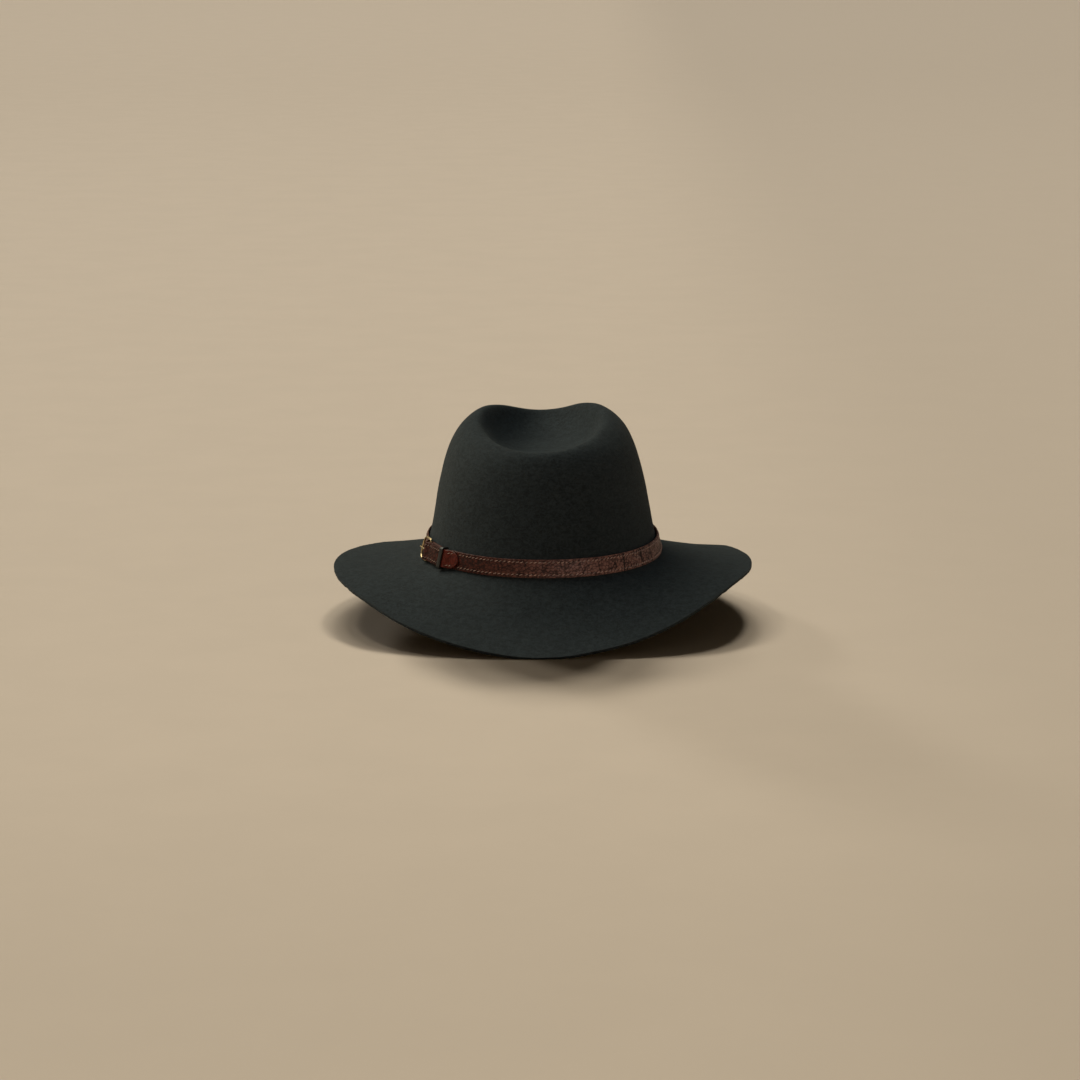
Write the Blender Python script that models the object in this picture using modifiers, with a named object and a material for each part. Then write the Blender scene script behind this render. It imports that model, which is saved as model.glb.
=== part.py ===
"""A felt bush hat with a creased crown, a turned down brim and a buckled leather band.

Metres, +Z up. The wearer faces +Y, and +X is the wearer's right. The origin is on the
surface that the hat rests on, under the middle of the brim. The hat rests on the front
and the back of its brim, and the sides of the brim stay in the air.
"""

import math

import bmesh
import bpy
from mathutils import Vector
from mathutils.bvhtree import BVHTree

# Felt body: the block that the crown is shaped on, and the brim around it
HEAD_WIDTH = 0.165
HEAD_LENGTH = 0.203
CROWN_HEIGHT = 0.1036
FOLD_HEIGHT = 0.0408
BRIM_SIDE = 0.0655
BRIM_END = 0.0590
SIDE_LIFT = 0.0327
FELT_THICKNESS = 0.0020
FLAT_DEPTH = 0.0010
PINCH_DEPTH = 0.0070
RIDGE_LEAN = 0.0009
CROWN_SHIFT = -0.0010

# Band: one leather strap that goes round the crown and back through its own buckle
STRAP_WIDTH = 0.0125
STRAP_THICKNESS = 0.0012
STRAP_RISE = 0.0025
STRAP_SLOT = 0.0020
KEEPER_DISTANCE = 0.0270
KEEPER_WIDTH = 0.0040
KEEPER_THICKNESS = 0.0010
TIP_LENGTH = 0.0175
FOLD_RUN = 0.0060
FOLDED_CLEAR = 0.0040
BUCKLE_ANGLE = math.radians(206)
BAND_LEAN = math.radians(14)

# Buckle: a wire frame with a prong that turns on its heel bar
BUCKLE_LENGTH = 0.0150
BUCKLE_ROOM = 0.0006
BUCKLE_WIRE = 0.0016
HEEL_CORNER = 0.0012
FRONT_CORNER = 0.0050
BUCKLE_TILT = 0.0014
PRONG_WIRE = 0.0012
PRONG_REACH = 0.0010
PRONG_WRAP = math.radians(262)

# Clear space between pieces that touch on the real hat
GAP = 0.0003

# Cage of the felt: columns around the head, and how square the head's outline is
COLUMNS = 24
SQUARENESS = 2.1
RIDGE_PLACE = 0.26
FRONT_FALL = 2.6
BACK_FALL = 0.95
PINCH_ANGLE = math.radians(52)
PINCH_SPREAD = math.radians(20)

# Crown sections from the fold up over the ridge and down into the crease. Width, front and
# back are shares of half the head's width and length, the three heights are shares of the
# crown's height, narrow is the share by which the front is slimmer, and pinch is the share
# of the pinch's depth.
CROWN_COLUMNS = ("width", "front", "back", "ridge_z", "front_z", "back_z", "narrow", "pinch")
CROWN_SECTIONS = {
    "fold": (1.020, 1.015, 1.015, 0.000, 0.000, 0.000, 0.00, 0.0),
    "foot": (0.992, 0.995, 0.995, 0.045, 0.045, 0.045, 0.00, 0.0),
    "band_top": (0.952, 0.970, 0.970, 0.170, 0.170, 0.170, 0.00, 0.0),
    "low": (0.908, 0.940, 0.930, 0.370, 0.365, 0.350, 0.02, 0.1),
    "mid": (0.862, 0.905, 0.882, 0.570, 0.540, 0.515, 0.05, 0.5),
    "high": (0.806, 0.862, 0.840, 0.770, 0.690, 0.650, 0.09, 1.0),
    "shoulder": (0.725, 0.811, 0.802, 0.900, 0.790, 0.740, 0.13, 1.0),
    "round": (0.605, 0.754, 0.758, 0.975, 0.862, 0.795, 0.18, 0.5),
    "crest": (0.525, 0.692, 0.708, 0.985, 0.872, 0.814, 0.24, 0.1),
    "lip": (0.465, 0.635, 0.665, 0.880, 0.838, 0.792, 0.27, 0.0),
    "wall": (0.395, 0.520, 0.600, 0.785, 0.785, 0.750, 0.28, 0.0),
    "bowl": (0.250, 0.340, 0.420, 0.725, 0.732, 0.722, 0.26, 0.0),
    "floor": (0.100, 0.150, 0.200, 0.710, 0.712, 0.710, 0.20, 0.0),
}

# Brim sections from the fold outwards: share of the brim's width and share of its drop
BRIM_COLUMNS = ("out", "drop")
BRIM_SECTIONS = {
    "inner": (0.12, 0.17),
    "middle": (0.38, 0.50),
    "outer": (0.70, 0.79),
    "hem": (0.94, 0.96),
    "edge": (1.00, 1.00),
}

# Height of the brim's edge above its lowest places, every 30 degrees from the wearer's
# right towards the front, as a share of the lift of its sides
EDGE_LIFT = {
    "right": 1.02,
    "right_front": 0.88,
    "front_right": 0.365,
    "front": 0.00,
    "front_left": 0.58,
    "left_front": 0.88,
    "left": 0.965,
    "left_back": 0.83,
    "back_left": 0.312,
    "back": 0.00,
    "back_right": 0.34,
    "right_back": 0.97,
}

# Strap tip: distance from its point and half width, as shares of half the strap's width
TIP_COLUMNS = ("from_point", "half_width")
TIP_SHAPE = {
    "straight": (1.30, 1.00),
    "shoulder": (0.90, 0.90),
    "cheek": (0.45, 0.66),
    "nose": (0.12, 0.36),
    "point": (0.00, 0.14),
}


def clear_scene():
    """Remove every object, so that the script can be run again."""
    for item in list(bpy.data.objects):
        bpy.data.objects.remove(item, do_unlink=True)


def make_collection(name):
    """Return a new collection in the scene."""
    collection = bpy.data.collections.new(name)
    bpy.context.scene.collection.children.link(collection)
    return collection


def make_material(name, colour, roughness, metallic):
    """Return a plain Principled material."""
    material = bpy.data.materials.new(name)
    material.use_nodes = True
    shader = material.node_tree.nodes["Principled BSDF"]
    shader.inputs["Base Color"].default_value = (*colour, 1.0)
    shader.inputs["Roughness"].default_value = roughness
    shader.inputs["Metallic"].default_value = metallic
    material.diffuse_color = (*colour, 1.0)
    return material


def add_object(name, data, collection, material, parent):
    """Put a mesh or a curve in the scene as one named piece."""
    item = bpy.data.objects.new(name, data)
    item.data.materials.append(material)
    item.parent = parent
    collection.objects.link(item)
    return item


def hide_cutter(cutter, collection):
    """Keep a cutter out of the parts."""
    for owner in list(cutter.users_collection):
        owner.objects.unlink(cutter)
    collection.objects.link(cutter)
    cutter.hide_render = True
    cutter.display_type = "WIRE"


def cut(item, cutter):
    """Cut a cutter's shape out of a piece."""
    modifier = item.modifiers.new("cut_" + cutter.name, "BOOLEAN")
    modifier.operation = "DIFFERENCE"
    modifier.solver = "EXACT"
    modifier.object = cutter


def smooth_faces(mesh, angle):
    """Shade a mesh smooth, with sharp edges past an angle in degrees."""
    mesh.shade_smooth()
    mesh.set_sharp_from_angle(angle=math.radians(angle))


def ease(value, start, end):
    """Go smoothly from 0 at start to 1 at end."""
    share = min(max((value - start) / (end - start), 0.0), 1.0)
    return share * share * (3.0 - 2.0 * share)


def signed_power(value, power):
    """Raise a number's size to a power and keep its sign."""
    return math.copysign(abs(value) ** power, value)


def cage_reach():
    """Return how far out a cage ring lies, so that its smooth ring has the named size."""
    return 3.0 / (2.0 + math.cos(2.0 * math.pi / COLUMNS))


def section_height(along, section):
    """Height of a crown section at a place from the back, -1, to the front, 1."""
    if along > RIDGE_PLACE:
        share = ((along - RIDGE_PLACE) / (1.0 - RIDGE_PLACE)) ** FRONT_FALL
        end = section["front_z"]
    else:
        share = ((RIDGE_PLACE - along) / (1.0 + RIDGE_PLACE)) ** BACK_FALL
        end = section["back_z"]
    return section["ridge_z"] + (end - section["ridge_z"]) * share


def pinch_at(angle):
    """Share of the pinch at an angle around the crown, on both sides of the front."""
    from_front = abs(math.atan2(math.cos(angle), math.sin(angle)))
    offset = from_front - (math.pi / 2.0 - PINCH_ANGLE)
    return math.exp(-((offset / PINCH_SPREAD) ** 2))


def crown_ring(section):
    """Points of one crown section, one for each column."""
    points = []
    for column in range(COLUMNS):
        angle = 2.0 * math.pi * column / COLUMNS
        across = signed_power(math.cos(angle), 2.0 / SQUARENESS)
        along = signed_power(math.sin(angle), 2.0 / SQUARENESS)
        ahead = max(along, 0.0)
        behind = max(-along, 0.0)
        width = section["width"] * HEAD_WIDTH / 2.0 * (1.0 - section["narrow"] * ahead)
        length = HEAD_LENGTH / 2.0
        x = width * across
        y = length * (section["front"] * ahead - section["back"] * behind)
        dent = PINCH_DEPTH * section["pinch"] * pinch_at(angle)
        x -= dent * math.cos(angle)
        y -= dent * math.sin(angle)
        lean = RIDGE_LEAN * across * section["ridge_z"] ** 2
        z = FOLD_HEIGHT + CROWN_HEIGHT * section_height(along, section) + lean
        x += CROWN_SHIFT * section["ridge_z"]
        points.append(Vector((x * cage_reach(), y * cage_reach(), z)))
    return points


def edge_lift(angle):
    """Lift of the brim's edge at an angle, smooth through the table."""
    lifts = list(EDGE_LIFT.values())
    count = len(lifts)
    place = (angle / (2.0 * math.pi) * count) % count
    step = int(place)
    t = place - step
    before, here, after, beyond = (lifts[(step + k) % count] for k in (-1, 0, 1, 2))
    slope = (after - before) * t
    bend = (2.0 * before - 5.0 * here + 4.0 * after - beyond) * t * t
    turn = (3.0 * here - before - 3.0 * after + beyond) * t ** 3
    return SIDE_LIFT * (here + 0.5 * (slope + bend + turn))


def edge_heights():
    """Heights of the cage's edge, so that its smooth edge goes through the table's."""
    lowest = FELT_THICKNESS - FLAT_DEPTH
    wanted = [lowest + edge_lift(2.0 * math.pi * k / COLUMNS) for k in range(COLUMNS)]
    heights = list(wanted)
    for _round in range(6):
        smooth = [(heights[k - 1] + 4.0 * heights[k] + heights[(k + 1) % COLUMNS]) / 6.0
                  for k in range(COLUMNS)]
        heights = [now + want - got for now, want, got in zip(heights, wanted, smooth)]
    return heights


def brim_ring(section, fold, heights):
    """Points of one brim section, from the fold's points out to the edge's."""
    points = []
    for column, inside in enumerate(fold):
        angle = 2.0 * math.pi * column / COLUMNS
        outside = Vector((
            (HEAD_WIDTH / 2.0 + BRIM_SIDE) * math.cos(angle) * cage_reach(),
            (HEAD_LENGTH / 2.0 + BRIM_END) * math.sin(angle) * cage_reach(),
            heights[column],
        ))
        point = inside.lerp(outside, section["out"])
        point.z = inside.z + (outside.z - inside.z) * section["drop"]
        points.append(point)
    return points


def felt_rings():
    """Rings of the cage from the middle of the crease out to the brim's edge."""
    crown = [crown_ring(dict(zip(CROWN_COLUMNS, row))) for row in CROWN_SECTIONS.values()]
    heights = edge_heights()
    outward = [dict(zip(BRIM_COLUMNS, row)) for row in BRIM_SECTIONS.values()]
    brim = [brim_ring(section, crown[0], heights) for section in outward]
    return list(reversed(crown)) + brim


def felt_cage_mesh():
    """A web of rings around one middle point, moved onto the sections."""
    rings = felt_rings()
    web = bmesh.new()
    bmesh.ops.create_circle(web, cap_ends=True, cap_tris=True, segments=COLUMNS, radius=1.0)
    for reach in range(2, len(rings) + 1):
        edges = [edge for edge in web.edges if edge.is_boundary]
        grown = bmesh.ops.extrude_edge_only(web, edges=edges)["geom"]
        for vertex in (part for part in grown if isinstance(part, bmesh.types.BMVert)):
            vertex.co = vertex.co.normalized() * reach
    for vertex in web.verts:
        reach = round(vertex.co.length)
        column = round(math.atan2(vertex.co.y, vertex.co.x) / (2.0 * math.pi) * COLUMNS) % COLUMNS
        if reach:
            vertex.co = rings[reach - 1][column]
        else:
            vertex.co = sum(rings[0], Vector()) / COLUMNS
    bmesh.ops.recalc_face_normals(web, faces=web.faces[:])
    mesh = bpy.data.meshes.new("felt_body")
    web.to_mesh(mesh)
    web.free()
    return mesh


def make_felt_body(parts, cutters, root):
    """Crown and brim in one piece of felt, cut flat where the brim rests."""
    felt = make_material("felt", (0.021, 0.027, 0.025), 0.95, 0.0)
    body = add_object("felt_body", felt_cage_mesh(), parts, felt, root)
    smooth_faces(body.data, 60)
    soften = body.modifiers.new("soften", "SUBSURF")
    soften.levels = 1
    soften.render_levels = 1
    wall = body.modifiers.new("wall", "SOLIDIFY")
    wall.thickness = FELT_THICKNESS
    wall.offset = -1.0
    wall.use_even_offset = True
    wall.use_quality_normals = True

    reach = HEAD_LENGTH + 2.0 * BRIM_END
    bpy.ops.mesh.primitive_cube_add(size=1.0, location=(0.0, 0.0, -reach / 4.0))
    floor = bpy.context.object
    floor.name = "floor_cutter"
    floor.dimensions = (reach * 2.0, reach * 2.0, reach / 2.0)
    hide_cutter(floor, cutters)
    cut(body, floor)
    return body


def leaned(point):
    """Where a point of the upright band goes as the band leans in against the crown."""
    low = FOLD_HEIGHT + STRAP_RISE
    height = point.z - low
    out = Vector((point.x / HEAD_WIDTH ** 2, point.y / HEAD_LENGTH ** 2, 0.0)).normalized()
    place = point - out * (height * math.sin(BAND_LEAN))
    place.z = low + height * math.cos(BAND_LEAN)
    return place


def lean_in(item, parts):
    """Turn a finished piece of the band into a mesh that leans in against the crown."""
    bpy.context.view_layer.update()
    graph = bpy.context.evaluated_depsgraph_get()
    mesh = bpy.data.meshes.new_from_object(item.evaluated_get(graph), depsgraph=graph)
    shape = bmesh.new()
    shape.from_mesh(mesh)
    bmesh.ops.remove_doubles(shape, verts=shape.verts[:], dist=GAP / 100.0)
    shape.transform(item.matrix_world)
    for vertex in shape.verts:
        vertex.co = leaned(vertex.co)
    shape.transform(item.matrix_world.inverted())
    shape.to_mesh(mesh)
    shape.free()
    name, parent, place = item.name, item.parent, item.matrix_world.copy()
    bpy.data.objects.remove(item)
    piece = bpy.data.objects.new(name, mesh)
    parts.objects.link(piece)
    piece.parent = parent
    piece.matrix_world = place
    return piece


class Track:
    """The line around the crown that the back of the upright band follows."""

    STEPS = 180

    def __init__(self, body):
        tree = BVHTree.FromObject(body, bpy.context.evaluated_depsgraph_get())
        low = FOLD_HEIGHT + STRAP_RISE
        lengths = [STRAP_WIDTH * share for share in (0.0, 0.25, 0.5, 0.75, 1.0)]
        self.points = []
        for step in range(self.STEPS):
            angle = BUCKLE_ANGLE + 2.0 * math.pi * step / self.STEPS
            out = Vector((math.cos(angle), math.sin(angle), 0.0))
            radii = []
            for length in lengths:
                height = low + length * math.cos(BAND_LEAN)
                start = out * HEAD_LENGTH + Vector((0.0, 0.0, height))
                reach = HEAD_LENGTH - tree.ray_cast(start, -out)[3]
                radii.append(reach + length * math.sin(BAND_LEAN))
            self.points.append(out * (max(radii) + GAP))
        self.lengths = [0.0]
        for step in range(self.STEPS):
            ahead = self.points[(step + 1) % self.STEPS]
            self.lengths.append(self.lengths[-1] + (ahead - self.points[step]).length)
        self.length = self.lengths[-1]

    def point(self, distance):
        """Point of the track at a distance from the buckle's heel bar."""
        distance %= self.length
        step = max(k for k in range(self.STEPS) if self.lengths[k] <= distance)
        share = (distance - self.lengths[step]) / (self.lengths[step + 1] - self.lengths[step])
        return self.points[step].lerp(self.points[(step + 1) % self.STEPS], share)

    def outward(self, distance):
        """Direction straight out of the track at a distance."""
        reach = FOLD_RUN / 2.0
        ahead = self.point(distance + reach) - self.point(distance - reach)
        return Vector((ahead.y, -ahead.x, 0.0)).normalized()

    def place(self, distance, offset):
        """Point at a distance along the track and an offset out from it."""
        return self.point(distance) + self.outward(distance) * offset


def layer(number):
    """Offset of the middle of a layer of leather, counted from the crown."""
    return STRAP_THICKNESS / 2.0 + number * (STRAP_THICKNESS + GAP)


def wrap_radius():
    """Distance from the heel bar's middle to the middle of the strap folded round it."""
    return BUCKLE_WIRE / 2.0 + GAP + STRAP_THICKNESS / 2.0


def heel_offset():
    """Offset of the middle of the heel bar, which the strap is folded round."""
    return layer(0) + wrap_radius()


def front_offset():
    """Offset of the middle of the front bar, which the strap goes under."""
    return STRAP_THICKNESS + GAP + BUCKLE_WIRE / 2.0 + BUCKLE_TILT


def prong_radius():
    """Distance from a bar's middle to the middle of the prong that lies on it."""
    return (BUCKLE_WIRE + PRONG_WIRE) / 2.0 + GAP


def strap_middle():
    """Height of the middle of the strap while the band is upright."""
    return FOLD_HEIGHT + STRAP_RISE + STRAP_WIDTH / 2.0


def held_offset(distance, number):
    """Offset of a layer from the heel bar on: over the fold, through the keeper, down."""
    over_fold = layer(number - 1) + 2.0 * wrap_radius()
    through_keeper = layer(number - 1) + max(STRAP_THICKNESS, KEEPER_THICKNESS + GAP) + GAP
    keeper_end = KEEPER_DISTANCE + KEEPER_WIDTH
    offset = over_fold + (through_keeper - over_fold) * ease(distance, 0.0, FOLD_RUN)
    drop = ease(distance, keeper_end, keeper_end + FOLD_RUN)
    return offset + (layer(number - 1) - through_keeper) * drop


def free_offset(distance):
    """Offset of the free end: under the front bar, then up over the heel bar."""
    if distance >= 0.0:
        return held_offset(distance, 2)
    past_front_bar = BUCKLE_WIRE * 3.0 - BUCKLE_LENGTH
    rise = ease(distance, past_front_bar, -GAP)
    return layer(0) + (held_offset(0.0, 2) - layer(0)) * rise


def prong_offset(distance):
    """Offset of the prong between the heel bar and the front bar."""
    share = -distance / BUCKLE_LENGTH
    return heel_offset() + (front_offset() - heel_offset()) * share + prong_radius()


def prong_crossing():
    """Distance from the heel bar at which the prong goes through the free end."""
    places = spread(-BUCKLE_LENGTH, 0.0, GAP)
    return min(places, key=lambda d: abs(free_offset(d) - prong_offset(d)))


def spread(start, end, step):
    """Even distances from start to end, no further apart than a step."""
    count = max(1, math.ceil((end - start) / step))
    return [start + (end - start) * k / count for k in range(count + 1)]


def tip_column(name):
    """One column of the strap tip's table."""
    return [dict(zip(TIP_COLUMNS, row))[name] for row in TIP_SHAPE.values()]


def strap_path(track):
    """Middle line of the strap, from its hidden folded end to its free tip."""
    fine = FOLD_RUN / 5.0
    coarse = STRAP_WIDTH / 2.0
    folded = KEEPER_DISTANCE - KEEPER_WIDTH / 2.0 - FOLDED_CLEAR
    path = [track.place(d, layer(0)) for d in reversed(spread(0.0, folded, FOLD_RUN / 2.0))]

    out = track.outward(0.0)
    back = Vector((out.y, -out.x, 0.0))
    centre = track.place(0.0, heel_offset())
    turns = 10
    for turn in range(1, turns):
        angle = math.pi * turn / turns
        path.append(centre + (back * math.sin(angle) - out * math.cos(angle)) * wrap_radius())

    held = KEEPER_DISTANCE + KEEPER_WIDTH + FOLD_RUN
    under = -BUCKLE_LENGTH - BUCKLE_WIRE
    tip = KEEPER_DISTANCE + TIP_LENGTH
    ends = [tip - share * STRAP_WIDTH / 2.0 for share in tip_column("from_point")]
    path += [track.place(d, held_offset(d, 1)) for d in spread(0.0, held, fine)]
    path += [track.place(d, layer(0)) for d in spread(held, track.length + under, coarse)[1:]]
    path += [track.place(d, free_offset(d)) for d in spread(under, 0.0, fine / 2.0)[1:-1]]
    path += [track.place(d, free_offset(d)) for d in spread(0.0, ends[0], fine) + ends[1:]]
    return path


def make_strip(name, path, width, closed):
    """An open sheet that stands on a path in the XY plane, half above and half below."""
    sheet = bmesh.new()
    low = [sheet.verts.new((point.x, point.y, -width / 2.0)) for point in path]
    nexts = low[1:] + low[:1] if closed else low[1:]
    edges = [sheet.edges.new(pair) for pair in zip(low, nexts)]
    grown = bmesh.ops.extrude_edge_only(sheet, edges=edges)["geom"]
    high = [part for part in grown if isinstance(part, bmesh.types.BMVert)]
    bmesh.ops.translate(sheet, verts=high, vec=(0.0, 0.0, width))
    bmesh.ops.recalc_face_normals(sheet, faces=sheet.faces[:])
    mesh = bpy.data.meshes.new(name)
    sheet.to_mesh(mesh)
    sheet.free()
    return mesh


def thicken(item, thickness):
    """Give a sheet its thickness, half to each side."""
    wall = item.modifiers.new("wall", "SOLIDIFY")
    wall.thickness = thickness
    wall.offset = 0.0
    wall.use_even_offset = True


def narrow_tip(mesh, stations):
    """Bring the strap's last stations in to the rounded tip in the table."""
    for station, share in zip(stations, tip_column("half_width")):
        for vertex in mesh.vertices:
            if math.dist(vertex.co.xy, station.xy) < GAP / 10.0:
                vertex.co.z *= share


def make_band_strap(track, parts, cutters, root):
    """The strap, with a slot where the prong turns and a hole where it goes through."""
    leather = make_material("brown_leather", (0.10, 0.028, 0.020), 0.35, 0.0)
    path = strap_path(track)
    mesh = make_strip("band_strap", path, STRAP_WIDTH, False)
    narrow_tip(mesh, path[-len(TIP_SHAPE):])
    strap = add_object("band_strap", mesh, parts, leather, root)
    strap.location.z = strap_middle()
    smooth_faces(strap.data, 40)
    thicken(strap, STRAP_THICKNESS)

    # The slot goes past the prong but stops short of the free end, one gap outside it
    up = Vector((0.0, 0.0, strap_middle()))
    slot_radius = prong_radius() + PRONG_WIRE / 2.0 + GAP * 0.7
    bpy.ops.mesh.primitive_cylinder_add(vertices=24, radius=slot_radius, depth=STRAP_SLOT,
                                        location=track.place(0.0, heel_offset()) + up)
    slot = bpy.context.object
    slot.name = "prong_slot_cutter"
    hide_cutter(slot, cutters)
    cut(strap, slot)

    crossing = prong_crossing()
    line = buckle_line(track)
    bpy.ops.mesh.primitive_cube_add(size=1.0, rotation=(0.0, 0.0, math.atan2(line.y, line.x)),
                                    location=track.place(crossing, prong_offset(crossing)) + up)
    hole = bpy.context.object
    hole.name = "prong_hole_cutter"
    hole.scale = (2.0 * (STRAP_THICKNESS + PRONG_WIRE), PRONG_WIRE + 2.0 * GAP, STRAP_SLOT)
    hide_cutter(hole, cutters)
    cut(strap, hole)
    return strap


def buckle_line(track):
    """From the middle of the heel bar to the middle of the front bar."""
    return track.place(-BUCKLE_LENGTH, front_offset()) - track.place(0.0, heel_offset())


def make_wire(name, points, diameter, closed):
    """A round wire through points, with closed ends."""
    curve = bpy.data.curves.new(name, "CURVE")
    curve.dimensions = "3D"
    curve.bevel_depth = diameter / 2.0
    curve.bevel_resolution = 2
    curve.use_fill_caps = True
    spline = curve.splines.new("POLY")
    spline.points.add(len(points) - 1)
    for knot, point in zip(spline.points, points):
        knot.co = (*point, 1.0)
    spline.use_cyclic_u = closed
    spline.use_smooth = True
    return curve


def rounded_rectangle(left, right, half, left_radius, right_radius, steps):
    """Points around a rectangle with round corners, in order."""
    corners = (
        (right - right_radius, half - right_radius, right_radius, 0.0),
        (left + left_radius, half - left_radius, left_radius, 90.0),
        (left + left_radius, left_radius - half, left_radius, 180.0),
        (right - right_radius, right_radius - half, right_radius, 270.0),
    )
    points = []
    for x, y, radius, start in corners:
        for step in range(steps + 1):
            angle = math.radians(start + 90.0 * step / steps)
            points.append((x + radius * math.cos(angle), y + radius * math.sin(angle)))
    return points


def make_buckle_frame(track, metal, parts, root):
    """A rectangular wire frame, from the heel bar to the front bar."""
    line = buckle_line(track)
    half = STRAP_WIDTH / 2.0 + BUCKLE_ROOM + BUCKLE_WIRE / 2.0
    outline = rounded_rectangle(0.0, line.length, half, HEEL_CORNER, FRONT_CORNER, 4)
    curve = make_wire("buckle_frame", [(x, 0.0, z) for x, z in outline], BUCKLE_WIRE, True)
    frame = add_object("buckle_frame", curve, parts, metal, root)
    frame.location = track.place(0.0, heel_offset())
    frame.location.z = strap_middle()
    frame.rotation_euler.z = math.atan2(line.y, line.x)
    return frame


def make_buckle_prong(track, metal, parts, root):
    """A pin bent round the heel bar, through the strap and onto the front bar."""
    line = buckle_line(track)
    radius = prong_radius()
    side = 1.0 if line.cross(track.outward(0.0)).z > 0.0 else -1.0
    points = [(line.length + PRONG_REACH, radius * side, 0.0)]
    points.append((line.length / 2.0, radius * side, 0.0))
    turns = 12
    for turn in range(turns + 1):
        angle = PRONG_WRAP * turn / turns
        points.append((-radius * math.sin(angle), radius * math.cos(angle) * side, 0.0))
    curve = make_wire("buckle_prong", points, PRONG_WIRE, False)
    prong = add_object("buckle_prong", curve, parts, metal, root)
    prong.location = track.place(0.0, heel_offset())
    prong.location.z = strap_middle()
    prong.rotation_euler.z = math.atan2(line.y, line.x)
    return prong


def make_keeper_loop(track, parts, root):
    """A narrow black leather loop around both layers of the strap."""
    leather = make_material("black_leather", (0.012, 0.011, 0.011), 0.40, 0.0)
    clear = STRAP_THICKNESS / 2.0 + GAP + KEEPER_THICKNESS / 2.0
    inner = held_offset(KEEPER_DISTANCE, 1) - clear
    outer = held_offset(KEEPER_DISTANCE, 2) + clear
    half = STRAP_WIDTH / 2.0 + GAP + KEEPER_THICKNESS / 2.0
    corner = KEEPER_THICKNESS * 0.8
    outline = rounded_rectangle(inner, outer, half, corner, corner, 3)
    path = [Vector((x, y, 0.0)) for x, y in outline]
    mesh = make_strip("keeper_loop", path, KEEPER_WIDTH, True)
    keeper = add_object("keeper_loop", mesh, parts, leather, root)
    smooth_faces(keeper.data, 50)
    thicken(keeper, KEEPER_THICKNESS)
    out = track.outward(KEEPER_DISTANCE)
    keeper.location = track.point(KEEPER_DISTANCE)
    keeper.location.z = strap_middle()
    keeper.rotation_euler = (math.pi / 2.0, 0.0, math.atan2(out.y, out.x))
    return keeper


def main():
    """Build the hat."""
    clear_scene()
    parts = make_collection("bush_hat")
    cutters = make_collection("cutters")
    root = bpy.data.objects.new("bush_hat_root", None)
    parts.objects.link(root)
    body = make_felt_body(parts, cutters, root)
    bpy.context.view_layer.update()
    track = Track(body)
    metal = make_material("gold_tone_metal", (0.72, 0.52, 0.24), 0.30, 1.0)
    band = [
        make_band_strap(track, parts, cutters, root),
        make_buckle_frame(track, metal, parts, root),
        make_buckle_prong(track, metal, parts, root),
        make_keeper_loop(track, parts, root),
    ]
    for piece in band:
        lean_in(piece, parts)


main()
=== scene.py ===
"""The looks of a felt bush hat: fur felt, an embossed leather band and its small buckle.

The wearer faces +Y. Lengths are in metres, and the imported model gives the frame.
"""

from bisect import bisect_right
import math

import bmesh
import bpy
from bpy.props import FloatProperty, FloatVectorProperty, IntProperty, PointerProperty
from bpy.types import Operator, Panel, PropertyGroup
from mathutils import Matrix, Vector, noise
from mathutils.bvhtree import BVHTree


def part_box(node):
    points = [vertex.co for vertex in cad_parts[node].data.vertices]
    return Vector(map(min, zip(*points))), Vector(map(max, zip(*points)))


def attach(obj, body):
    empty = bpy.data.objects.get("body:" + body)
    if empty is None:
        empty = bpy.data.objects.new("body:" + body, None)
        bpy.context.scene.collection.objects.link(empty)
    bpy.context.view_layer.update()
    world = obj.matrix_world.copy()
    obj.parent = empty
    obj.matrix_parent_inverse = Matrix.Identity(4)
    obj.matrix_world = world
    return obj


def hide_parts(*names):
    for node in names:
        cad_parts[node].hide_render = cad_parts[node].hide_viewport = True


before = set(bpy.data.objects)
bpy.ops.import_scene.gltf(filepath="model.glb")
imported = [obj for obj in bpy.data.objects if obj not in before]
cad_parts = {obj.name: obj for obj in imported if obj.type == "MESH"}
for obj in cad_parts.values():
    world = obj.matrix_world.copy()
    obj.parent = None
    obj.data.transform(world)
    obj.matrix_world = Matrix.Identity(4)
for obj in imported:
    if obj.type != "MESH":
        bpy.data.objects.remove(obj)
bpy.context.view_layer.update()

bl_info = {
    "name": "Felt Bush Hat",
    "version": (1, 0, 0),
    "blender": (4, 5, 0),
    "location": "3D View > Sidebar > Hat",
    "description": "Models a felt bush hat with a buckled leather band",
    "category": "Object",
}

STRAP_LOW, STRAP_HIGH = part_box("band_strap")
BAND_LEAN = math.radians(14)
UP = Vector((0.0, 0.0, 1.0))

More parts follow.
